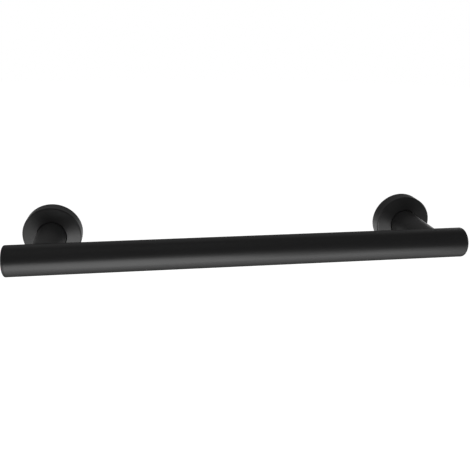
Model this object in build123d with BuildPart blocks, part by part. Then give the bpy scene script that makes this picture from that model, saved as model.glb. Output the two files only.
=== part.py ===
"""Straight grab bar: a round grip on two posts, with covers over its wall plates.

Frame: the wall is the XZ plane through the origin, and the bar stands out of it towards -Y.
+X runs along the grip and +Z is up. The origin is midway between the posts. Sizes are in millimetres.
"""

import os

from build123d import *

# Grip tube and its end caps
grip_diameter = 31.75
grip_overhang = 35.8
grip_wall = 1.5
cap_head_thickness = 2.4
cap_edge_radius = 1.6
cap_spigot_length = 9.0
cap_spigot_wall = 1.8
cap_lead_in = 0.6
press_clearance = 0.05
seam_break = 0.2

# Posts
post_spacing = 406.4
wall_to_grip_axis = 81.0
post_wall = 2.0
saddle_land = 0.375
weld_radius = 1.5
weld_gap = 0.15

# Mounting plates
plate_diameter = 60.7
plate_thickness = 4.0
plate_edge_break = 0.5
screw_count = 3
screw_hole_diameter = 6.5
first_screw_angle = 90.0

# Flange covers
cover_depth = 15.0
cover_face_rise = 2.5
cover_wall = 1.2
cover_edge_radius = 1.8
cover_collar_length = 3.5
cover_lip_radius = 0.5
snap_clearance = 0.2
slide_clearance = 0.4

# Sizes that follow from the ones above
grip_radius = grip_diameter / 2
grip_bore_radius = grip_radius - grip_wall
bar_length = post_spacing + 2 * grip_overhang
grip_tube_length = bar_length - 2 * cap_head_thickness
post_radius = grip_radius - saddle_land
plate_radius = plate_diameter / 2
plate_bore_radius = post_radius + weld_gap
screw_circle_radius = (plate_bore_radius + plate_radius) / 2
cover_inner_radius = plate_radius + snap_clearance
cover_radius = cover_inner_radius + cover_wall
cover_hole_radius = post_radius + slide_clearance
cover_front = cover_depth + cover_face_rise

sides = {"left": -1, "right": 1}
os.makedirs("parts", exist_ok=True)

# Grip tube, with its two outer end edges broken so that the cap seams show as fine lines
grip_start = Plane((-grip_tube_length / 2, -wall_to_grip_axis, 0), x_dir=(0, 1, 0), z_dir=(1, 0, 0))
with BuildPart() as grip_tube:
    with BuildSketch(grip_start):
        Circle(grip_radius)
        Circle(grip_bore_radius, mode=Mode.SUBTRACT)
    extrude(amount=grip_tube_length)
    chamfer(grip_tube.edges().filter_by(GeomType.CIRCLE).group_by(SortBy.RADIUS)[-1], length=seam_break)
grip_tube.part.label = "grip_tube"
export_step(grip_tube.part, "parts/grip_tube.step")

# End caps: a round-edged head over the tube's end, and a hollow spigot pressed into its bore
grip_axis = Axis((0, -wall_to_grip_axis, 0), (1, 0, 0))
spigot_radius = grip_bore_radius - press_clearance
spigot_bore_radius = spigot_radius - cap_spigot_wall
for side, sign in sides.items():
    outer_face = sign * bar_length / 2
    shoulder = sign * grip_tube_length / 2
    spigot_end = shoulder - sign * cap_spigot_length
    with BuildPart() as end_cap:
        with BuildSketch(Plane((0, -wall_to_grip_axis, 0))):
            with BuildLine():
                Polyline(
                    (outer_face, 0),
                    (outer_face, grip_radius),
                    (shoulder, grip_radius),
                    (shoulder, spigot_radius),
                    (spigot_end, spigot_radius),
                    (spigot_end, spigot_bore_radius),
                    (shoulder, spigot_bore_radius),
                    (shoulder, 0),
                    close=True,
                )
            make_face()
        revolve(axis=grip_axis)
        rims = end_cap.edges().filter_by(GeomType.CIRCLE)
        outer_rims = rims.group_by(SortBy.RADIUS)[-1].sort_by(Axis.X)
        face_rim, shoulder_rim = outer_rims[-1 if sign > 0 else 0], outer_rims[0 if sign > 0 else -1]
        spigot_rims = rims.filter_by(lambda edge: abs(edge.radius - spigot_radius) < press_clearance)
        lead_in_rim = spigot_rims.sort_by(Axis.X)[0 if sign > 0 else -1]
        fillet(face_rim, radius=cap_edge_radius)
        chamfer(shoulder_rim, length=seam_break)
        chamfer(lead_in_rim, length=cap_lead_in)
    end_cap.part.label = f"end_cap_{side}"
    export_step(end_cap.part, f"parts/end_cap_{side}.step")

# Posts: tubes from the wall, coped to a saddle on the grip, with the weld's fillet round the joint
saddle_length = 4 * grip_radius
for side, sign in sides.items():
    post_x = sign * post_spacing / 2
    wall_end = Plane((post_x, 0, 0), x_dir=(1, 0, 0), z_dir=(0, -1, 0))
    with BuildPart() as post:
        with BuildSketch(wall_end):
            Circle(post_radius)
        extrude(amount=wall_to_grip_axis)
        with Locations((post_x, -wall_to_grip_axis, 0)):
            Cylinder(grip_radius + weld_gap, saddle_length, rotation=(0, 90, 0))
        curved_edges = post.edges().filter_by(GeomType.LINE, reverse=True)
        saddle_edges = curved_edges.filter_by(GeomType.CIRCLE, reverse=True)
        fillet(saddle_edges, radius=weld_radius)
        with Locations((post_x, -wall_to_grip_axis, 0)):
            Cylinder(grip_radius + weld_gap, saddle_length, rotation=(0, 90, 0), mode=Mode.SUBTRACT)
        with BuildSketch(wall_end):
            Circle(post_radius - post_wall)
        extrude(amount=wall_to_grip_axis, mode=Mode.SUBTRACT)
    post.part.label = f"post_{side}"
    export_step(post.part, f"parts/post_{side}.step")

# Mounting plates: the post passes through the middle, and the wall screws through a ring of holes
for side, sign in sides.items():
    wall_face = Plane((sign * post_spacing / 2, 0, 0), x_dir=(1, 0, 0), z_dir=(0, -1, 0))
    with BuildPart() as mounting_plate:
        with BuildSketch(wall_face):
            Circle(plate_radius)
            Circle(plate_bore_radius, mode=Mode.SUBTRACT)
            with PolarLocations(screw_circle_radius, screw_count, start_angle=first_screw_angle):
                Circle(screw_hole_diameter / 2, mode=Mode.SUBTRACT)
        extrude(amount=plate_thickness)
        front_rims = mounting_plate.faces().sort_by(Axis.Y)[0].outer_wire().edges()
        chamfer(front_rims, length=plate_edge_break)
    mounting_plate.part.label = f"mounting_plate_{side}"
    export_step(mounting_plate.part, f"parts/mounting_plate_{side}.step")

# Flange covers: turned shells with a deep rim, a shallow cone for a face and a collar round the post
for side, sign in sides.items():
    post_x = sign * post_spacing / 2
    with BuildPart() as flange_cover:
        with BuildSketch(Plane((post_x, 0, 0))) as section:
            with BuildLine():
                Polyline(
                    (cover_inner_radius, 0),
                    (cover_radius, 0),
                    (cover_radius, -cover_depth),
                    (cover_hole_radius, -cover_front),
                    (cover_hole_radius, cover_collar_length - cover_front),
                    (cover_hole_radius + cover_wall, cover_collar_length - cover_front),
                    (cover_hole_radius + cover_wall, cover_wall - cover_front),
                    (cover_inner_radius, cover_wall - cover_depth),
                    close=True,
                )
            make_face()
            lip_corner = section.vertices().group_by(Axis.X)[0].sort_by(Axis.Y)[0]
            fillet(lip_corner, radius=cover_lip_radius)
            rim_corner = section.vertices().group_by(Axis.X)[-1].sort_by(Axis.Y)[0]
            fillet(rim_corner, radius=cover_edge_radius)
        revolve(axis=Axis((post_x, 0, 0), (0, 1, 0)))
    flange_cover.part.label = f"flange_cover_{side}"
    export_step(flange_cover.part, f"parts/flange_cover_{side}.step")
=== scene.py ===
"""Looks of a straight grab bar: satin black coats on its solids, a white studio round it and the camera.

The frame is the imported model's, in metres: the wall is the XZ plane through the origin, the grip stands
out of it towards -Y, +X runs along the grip and +Z is up. Places round the grip are given in degrees from
the front, up and over: 0 is the front, 90 the top, 180 the wall and 270 the underside.
"""

from __future__ import annotations

import logging
import math
from dataclasses import dataclass
from enum import Enum, IntEnum

import bmesh
import bpy
from mathutils import Matrix, Vector


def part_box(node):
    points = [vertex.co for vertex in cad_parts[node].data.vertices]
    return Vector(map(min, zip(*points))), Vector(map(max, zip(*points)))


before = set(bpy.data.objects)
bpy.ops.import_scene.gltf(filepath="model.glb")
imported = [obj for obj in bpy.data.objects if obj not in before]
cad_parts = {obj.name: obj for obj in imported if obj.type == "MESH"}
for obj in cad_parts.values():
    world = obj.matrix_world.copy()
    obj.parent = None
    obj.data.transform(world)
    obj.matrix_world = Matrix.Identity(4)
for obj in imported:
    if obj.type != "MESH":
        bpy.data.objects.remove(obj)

log = logging.getLogger("grab_bar")

WHITE = (1.0, 1.0, 1.0, 1.0)
SEEN_WHITE = 1.0


class Side(Enum):
    """The two ends of the bar, as the solids' names spell them."""

    LEFT = "left"
    RIGHT = "right"


class ColourMix(IntEnum):
    """Sockets of the Mix node that hold colours, which share their names with its other sockets."""

    FIRST = 6
    SECOND = 7
    RESULT = 2


def round_grip(angle: float) -> Vector:
    """Points away from the grip's axis.

    Args:
        angle: Degrees round the grip.

    Returns:
        The direction, of length 1.
    """
    turn = math.radians(angle)
    return Vector((0, -math.cos(turn), math.sin(turn)))


class NodeBoard:
    """A node tree that is filled one wired node at a time."""

    def __init__(self, owner: bpy.types.Material | bpy.types.World) -> None:
        """Takes over the node tree of its owner and empties it.

        Args:
            owner: The material or world that the nodes are for.
        """
        owner.use_nodes = True
        self.tree = owner.node_tree
        self.tree.nodes.clear()

    def add(
        self, kind: str, wires: dict[str | int, object] | None = None, **settings: str
    ) -> bpy.types.Node:
        """Adds one node.

        Args:
            kind: Blender's name for the node's type.
            wires: For each input, by name or number, an output to link or a value to set.
            **settings: Properties of the node itself.

        Returns:
            The new node.
        """
        node = self.tree.nodes.new(kind)
        for setting, value in settings.items():
            setattr(node, setting, value)
        for socket, value in (wires or {}).items():
            if isinstance(value, bpy.types.NodeSocket):
                self.tree.links.new(value, node.inputs[socket])
            else:
                node.inputs[socket].default_value = value
        return node

    def noise(self, place: bpy.types.NodeSocket, size: float, octaves: float) -> bpy.types.NodeSocket:
        """Adds a noise whose features lie a given distance apart.

        Args:
            place: The coordinates that it reads.
            size: Distance between features.
            octaves: Octaves of finer noise.

        Returns:
            The noise's value, from 0 to 1.
        """
        noise = self.add("ShaderNodeTexNoise", {"Vector": place, "Scale": 1.0 / size, "Detail": octaves})
        return noise.outputs["Fac"]

    def seen_rays(self) -> bpy.types.NodeSocket:
        """Marks the rays that show a surface: from the camera, in a reflection or through glass.

        Returns:
            An output that is 1 for such a ray and 0 for one that only carries light.
        """
        path = self.add("ShaderNodeLightPath")
        direct = self.add(
            "ShaderNodeMath",
            {0: path.outputs["Is Camera Ray"], 1: path.outputs["Is Glossy Ray"]},
            operation="MAXIMUM",
        )
        seen = self.add(
            "ShaderNodeMath",
            {0: direct.outputs[0], 1: path.outputs["Is Transmission Ray"]},
            operation="MAXIMUM",
        )
        return seen.outputs[0]


@dataclass(frozen=True)
class SatinBlack:
    """A satin black powder coat, with the fine unevenness that such a coat has.

    Attributes:
        name: The coat's name.
        colour: Linear colour of the coat where it is darkest.
        haze: Linear colour where the coat is palest.
        roughness: Mean roughness.
        roughness_spread: How far the roughness wanders to either side of its mean.
        cloud_size: Distance between duller and glossier patches.
        cloud_octaves: Octaves of finer change within those patches.
        peel_size: Distance between the crests of the orange peel.
        peel_depth: Height of those crests.
        peel_octaves: Octaves of finer change on those crests.
        grain_size: Distance between the grains of the powder.
        grain_depth: Height of those grains.
        grain_octaves: Octaves of finer change on those grains.
    """

    name: str
    colour: tuple[float, float, float] = (0.0120, 0.0120, 0.0122)
    haze: tuple[float, float, float] = (0.0150, 0.0150, 0.0152)
    roughness: float = 0.35
    roughness_spread: float = 0.025
    cloud_size: float = 0.030
    cloud_octaves: float = 3.0
    peel_size: float = 0.0016
    peel_depth: float = 4.0e-6
    peel_octaves: float = 1.0
    grain_size: float = 0.00025
    grain_depth: float = 0.8e-6
    grain_octaves: float = 2.0

    def material(self) -> bpy.types.Material:
        """Builds the coat's node material.

        Returns:
            The material, which reads Object coordinates only.
        """
        coat = bpy.data.materials.new(self.name)
        board = NodeBoard(coat)
        place = board.add("ShaderNodeTexCoord").outputs["Object"]
        clouds = board.noise(place, self.cloud_size, self.cloud_octaves)
        peel = board.noise(place, self.peel_size, self.peel_octaves)
        grain = board.noise(place, self.grain_size, self.grain_octaves)
        tint = board.add(
            "ShaderNodeMix",
            {
                "Factor": grain,
                ColourMix.FIRST: (*self.colour, 1.0),
                ColourMix.SECOND: (*self.haze, 1.0),
            },
            data_type="RGBA",
        )
        dullness = board.add(
            "ShaderNodeMapRange",
            {
                "Value": clouds,
                "To Min": self.roughness - self.roughness_spread,
                "To Max": self.roughness + self.roughness_spread,
            },
        )
        peel_bump = board.add("ShaderNodeBump", {"Height": peel, "Distance": self.peel_depth})
        grain_bump = board.add(
            "ShaderNodeBump",
            {"Height": grain, "Distance": self.grain_depth, "Normal": peel_bump.outputs["Normal"]},
        )
        shader = board.add(
            "ShaderNodeBsdfPrincipled",
            {
                "Base Color": tint.outputs[ColourMix.RESULT],
                "Roughness": dullness.outputs["Result"],
                "Normal": grain_bump.outputs["Normal"],
            },
        )
        board.add("ShaderNodeOutputMaterial", {"Surface": shader.outputs["BSDF"]})
        return coat


@dataclass(frozen=True)
class CoatedPieces:
    """A sub-assembly of the bar whose solids share one coat.

    Attributes:
        solids: Names of the solids.
        coat: What they are finished in.
    """

    solids: tuple[str, ...]
    coat: SatinBlack

    def dress(self) -> None:
        """Puts the coat on every solid of the sub-assembly."""
        finish = self.coat.material()
        for name in self.solids:
            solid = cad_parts[name]
            solid.data.materials.clear()
            solid.data.materials.append(finish)
            log.info("%s: %s", name, self.coat.name)

    @staticmethod
    def pair(stem: str) -> tuple[str, ...]:
        """Names the left and right solids of a pair."""
        return tuple(f"{stem}_{side.value}" for side in Side)


def set_on_stage(name: str, mesh: bmesh.types.BMesh, paint: bpy.types.Material) -> bpy.types.Object:
    """Makes a painted object of the studio, which is no part of the bar.

    Args:
        name: The object's name.
        mesh: Its shape, which is used up.
        paint: Its material.

    Returns:
        The object, in the scene.
    """
    data = bpy.data.meshes.new(name)
    mesh.to_mesh(data)
    mesh.free()
    data.materials.append(paint)
    thing = bpy.data.objects.new(name, data)
    bpy.context.scene.collection.objects.link(thing)
    return thing


@dataclass(frozen=True)
class Softbox:
    """An oval soft lamp that faces the grip and that the camera doesn't see.

    Attributes:
        name: The lamp's name.
        along: Its place along the grip.
        angle: Its place round the grip, in degrees.
        width: Its size along the grip.
        height: Its size round the grip.
        radiance: Brightness of its face, where 1 is white.
        distance: Its distance from the grip's axis.
        reflected: Whether reflections show it.
    """

    name: str
    along: float
    angle: float
    width: float
    height: float
    radiance: float
    distance: float = 0.75
    reflected: bool = True

    def build(self, axis: Vector) -> None:
        """Makes the lamp.

        Args:
            axis: The middle of the grip's axis.
        """
        lamp = bpy.data.lights.new(self.name, "AREA")
        lamp.shape = "ELLIPSE"
        lamp.size = self.width
        lamp.size_y = self.height
        # An even face sends out pi times its area and its radiance
        face_area = math.pi / 4 * self.width * self.height
        lamp.energy = math.pi * face_area * self.radiance
        holder = bpy.data.objects.new(self.name, lamp)
        outward = round_grip(self.angle)
        holder.location = axis + Vector((self.along, 0, 0)) + self.distance * outward
        holder.rotation_euler = (-outward).to_track_quat("-Z", "Y").to_euler()
        holder.visible_camera = False
        holder.visible_glossy = self.reflected
        bpy.context.scene.collection.objects.link(holder)
        log.info("%s: %.2f by %.2f m", self.name, self.width, self.height)


@dataclass(frozen=True)
class ArcCard:
    """A curved grey card round the bar, which its reflections show in place of the white room.

    Attributes:
        name: The card's name.
        start: Where it starts round the grip, in degrees.
        end: Where it ends round the grip, in degrees.
        grey: Brightness of the card, where 1 is white.
        span: Where it starts and ends along the grip.
        radius: Its distance from the grip's axis.
        degrees_per_facet: How finely it is bent.
    """

    name: str
    start: float
    end: float
    grey: float
    span: tuple[float, float] = (-1.6, 1.6)
    radius: float = 0.85
    degrees_per_facet: float = 5.0

    def build(self, axis: Vector) -> None:
        """Makes the card, which only reflections see.

        Args:
            axis: The middle of the grip's axis.
        """
        edge_place = axis + self.radius * round_grip(self.start)
        mesh = bmesh.new()
        corners = [mesh.verts.new(edge_place + Vector((end, 0, 0))) for end in self.span]
        edge = mesh.edges.new(corners)
        bmesh.ops.spin(
            mesh,
            geom=[*corners, edge],
            cent=axis,
            axis=(-1, 0, 0),
            angle=math.radians(self.end - self.start),
            steps=math.ceil((self.end - self.start) / self.degrees_per_facet),
        )
        card = set_on_stage(self.name, mesh, self._paint())
        card.visible_camera = False
        card.visible_diffuse = False
        card.visible_transmission = False
        card.visible_shadow = False
        log.info("%s: %.0f to %.0f degrees", self.name, self.start, self.end)

    def _paint(self) -> bpy.types.Material:
        """Builds the card's even grey.

        Returns:
            The material.
        """
        paint = bpy.data.materials.new(self.name)
        board = NodeBoard(paint)
        glow = board.add("ShaderNodeEmission", {"Color": WHITE, "Strength": self.grey})
        board.add("ShaderNodeOutputMaterial", {"Surface": glow.outputs[0]})
        return paint


@dataclass(frozen=True)
class WhiteRoom:
    """The pale floor and the white all round it.

    Attributes:
        floor_drop: How far the floor lies below the bar, which is the height that such bars are fixed at.
        floor_radius: Radius of the floor.
        floor_sides: How many straight sides its edge has.
        floor_colour: Grey of the floor's paint.
        floor_lift: White added to the floor where it is seen.
        fill: Strength of the room's light on dull surfaces, where the seen white is 1.
    """

    floor_drop: float = 0.9
    floor_radius: float = 12.0
    floor_sides: int = 96
    floor_colour: float = 0.9
    floor_lift: float = 0.85
    fill: float = 0.20

    def build(self) -> None:
        """Makes the floor and the world."""
        self._floor()
        self._world()

    def _floor(self) -> None:
        """Makes a round floor that takes the bar's shadow."""
        mesh = bmesh.new()
        bmesh.ops.create_circle(mesh, cap_ends=True, segments=self.floor_sides, radius=self.floor_radius)
        bmesh.ops.translate(mesh, verts=mesh.verts, vec=(0, 0, -self.floor_drop))
        set_on_stage("floor", mesh, self._floor_paint())
        log.info("floor: %.2f m below the bar", self.floor_drop)

    def _floor_paint(self) -> bpy.types.Material:
        """Builds a dull pale paint that is lifted to white where it is seen.

        Returns:
            The material.
        """
        paint = bpy.data.materials.new("floor_paint")
        board = NodeBoard(paint)
        grey = self.floor_colour
        dull = board.add("ShaderNodeBsdfDiffuse", {"Color": (grey, grey, grey, 1.0)})
        seen = board.add(
            "ShaderNodeMath", {0: board.seen_rays(), 1: self.floor_lift}, operation="MULTIPLY"
        )
        lift = board.add("ShaderNodeEmission", {"Color": WHITE, "Strength": seen.outputs[0]})
        both = board.add("ShaderNodeAddShader", {0: dull.outputs[0], 1: lift.outputs[0]})
        board.add("ShaderNodeOutputMaterial", {"Surface": both.outputs[0]})
        return paint

    def _world(self) -> None:
        """Makes the room white where it is seen, and a plain fill light elsewhere."""
        world = bpy.data.worlds.new("white_room")
        board = NodeBoard(world)
        level = board.add(
            "ShaderNodeMapRange",
            {"Value": board.seen_rays(), "To Min": self.fill, "To Max": SEEN_WHITE},
        )
        glow = board.add("ShaderNodeBackground", {"Color": WHITE, "Strength": level.outputs["Result"]})
        board.add("ShaderNodeOutputWorld", {"Surface": glow.outputs[0]})
        bpy.context.scene.world = world


@dataclass(frozen=True)
class Studio:
    """The lamps and cards round the bar, in a white room.

    Attributes:
        room: The floor and the white all round.
        cards: What the bar's reflections show in place of the room.
        softboxes: The lamps.
    """

    room: WhiteRoom = WhiteRoom()
    cards: tuple[ArcCard, ...] = (
        ArcCard("ceiling_card", start=-9.0, end=118.0, grey=0.03),
        ArcCard("brow_card", start=-9.0, end=12.0, grey=0.42, span=(-0.15, 0.45), radius=0.84),
        ArcCard("high_back_card", start=118.0, end=154.0, grey=0.18),
        ArcCard("back_card", start=154.0, end=184.0, grey=0.12, span=(-0.80, 0.75)),
        ArcCard("back_strip", start=184.0, end=198.0, grey=0.41),
        ArcCard("back_glow_strip", start=198.0, end=212.0, grey=0.96),
        ArcCard("low_back_card", start=212.0, end=250.0, grey=0.08),
        ArcCard("under_back_card", start=250.0, end=264.0, grey=0.32),
        ArcCard("under_card", start=264.0, end=280.0, grey=0.50),
        ArcCard("right_card", start=296.0, end=351.0, grey=0.10, span=(0.75, 1.60)),
        ArcCard("divider_card", start=327.0, end=340.0, grey=0.0, span=(0.16, 0.34)),
    )
    softboxes: tuple[Softbox, ...] = (
        Softbox("key_softbox", along=-0.20, angle=330.0, width=0.80, height=0.80, radiance=1.88),
        Softbox("side_softbox", along=0.47, angle=330.0, width=0.26, height=0.40, radiance=1.19),
        Softbox("low_softbox", along=0.38, angle=314.0, width=0.56, height=0.36, radiance=1.10),
        Softbox(
            "overhead_softbox",
            along=-0.25,
            angle=80.0,
            width=1.6,
            height=1.2,
            radiance=3.3,
            distance=1.6,
            reflected=False,
        ),
    )

    def build(self, axis: Vector) -> None:
        """Makes the room, the cards and the lamps.

        Args:
            axis: The middle of the grip's axis.
        """
        self.room.build()
        for piece in (*self.cards, *self.softboxes):
            piece.build(axis)


@dataclass(frozen=True)
class Viewpoint:
    """Where the photograph was taken from.

    Attributes:
        place: The lens.
        yaw: Turn to the right from +Y, in degrees.
        pitch: Tilt below the horizon, in degrees.
        roll: Turn about the line of sight, in degrees.
        lens: Focal length for the sensor's width, in millimetres.
        sensor: Width of the sensor, in millimetres.
        shift: Shift of the frame, in frame widths.
        nearest: How near the camera sees.
    """

    place: tuple[float, float, float] = (-0.0935, -0.5916, 0.2162)
    yaw: float = 7.67
    pitch: float = 20.96
    roll: float = 0.56
    lens: float = 41.58
    sensor: float = 36.0
    shift: tuple[float, float] = (0.030, 0.0)
    nearest: float = 0.01

    def build(self) -> None:
        """Makes the camera and gives it to the scene."""
        yaw, pitch, roll = (math.radians(angle) for angle in (self.yaw, self.pitch, self.roll))
        turn = (
            Matrix.Rotation(-yaw, 4, "Z")
            @ Matrix.Rotation(math.pi / 2 - pitch, 4, "X")
            @ Matrix.Rotation(roll, 4, "Z")
        )
        camera = bpy.data.cameras.new("camera")
        camera.sensor_width = self.sensor
        camera.lens = self.lens
        camera.shift_x, camera.shift_y = self.shift
        camera.clip_start = self.nearest
        holder = bpy.data.objects.new("camera", camera)
        holder.matrix_world = Matrix.Translation(self.place) @ turn
        bpy.context.scene.collection.objects.link(holder)
        bpy.context.scene.camera = holder
        log.info("camera: %.2f mm lens", self.lens)


def main() -> None:
    """Dresses the bar, builds the studio and the camera, and sets the view transform."""
    logging.basicConfig(level=logging.INFO, format="%(name)s %(message)s")
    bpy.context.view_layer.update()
    grip_low, grip_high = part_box("grip_tube")
    grip_axis = (grip_low + grip_high) / 2
    CoatedPieces(("grip_tube",), SatinBlack("grip_coat")).dress()
    CoatedPieces(CoatedPieces.pair("end_cap"), SatinBlack("cap_coat")).dress()
    CoatedPieces(CoatedPieces.pair("post"), SatinBlack("post_coat")).dress()
    CoatedPieces(CoatedPieces.pair("mounting_plate"), SatinBlack("plate_coat")).dress()
    CoatedPieces(CoatedPieces.pair("flange_cover"), SatinBlack("cover_coat")).dress()
    Studio().build(grip_axis)
    Viewpoint().build()
    bpy.context.scene.view_settings.view_transform = "Standard"


if __name__ == "__main__":
    main()
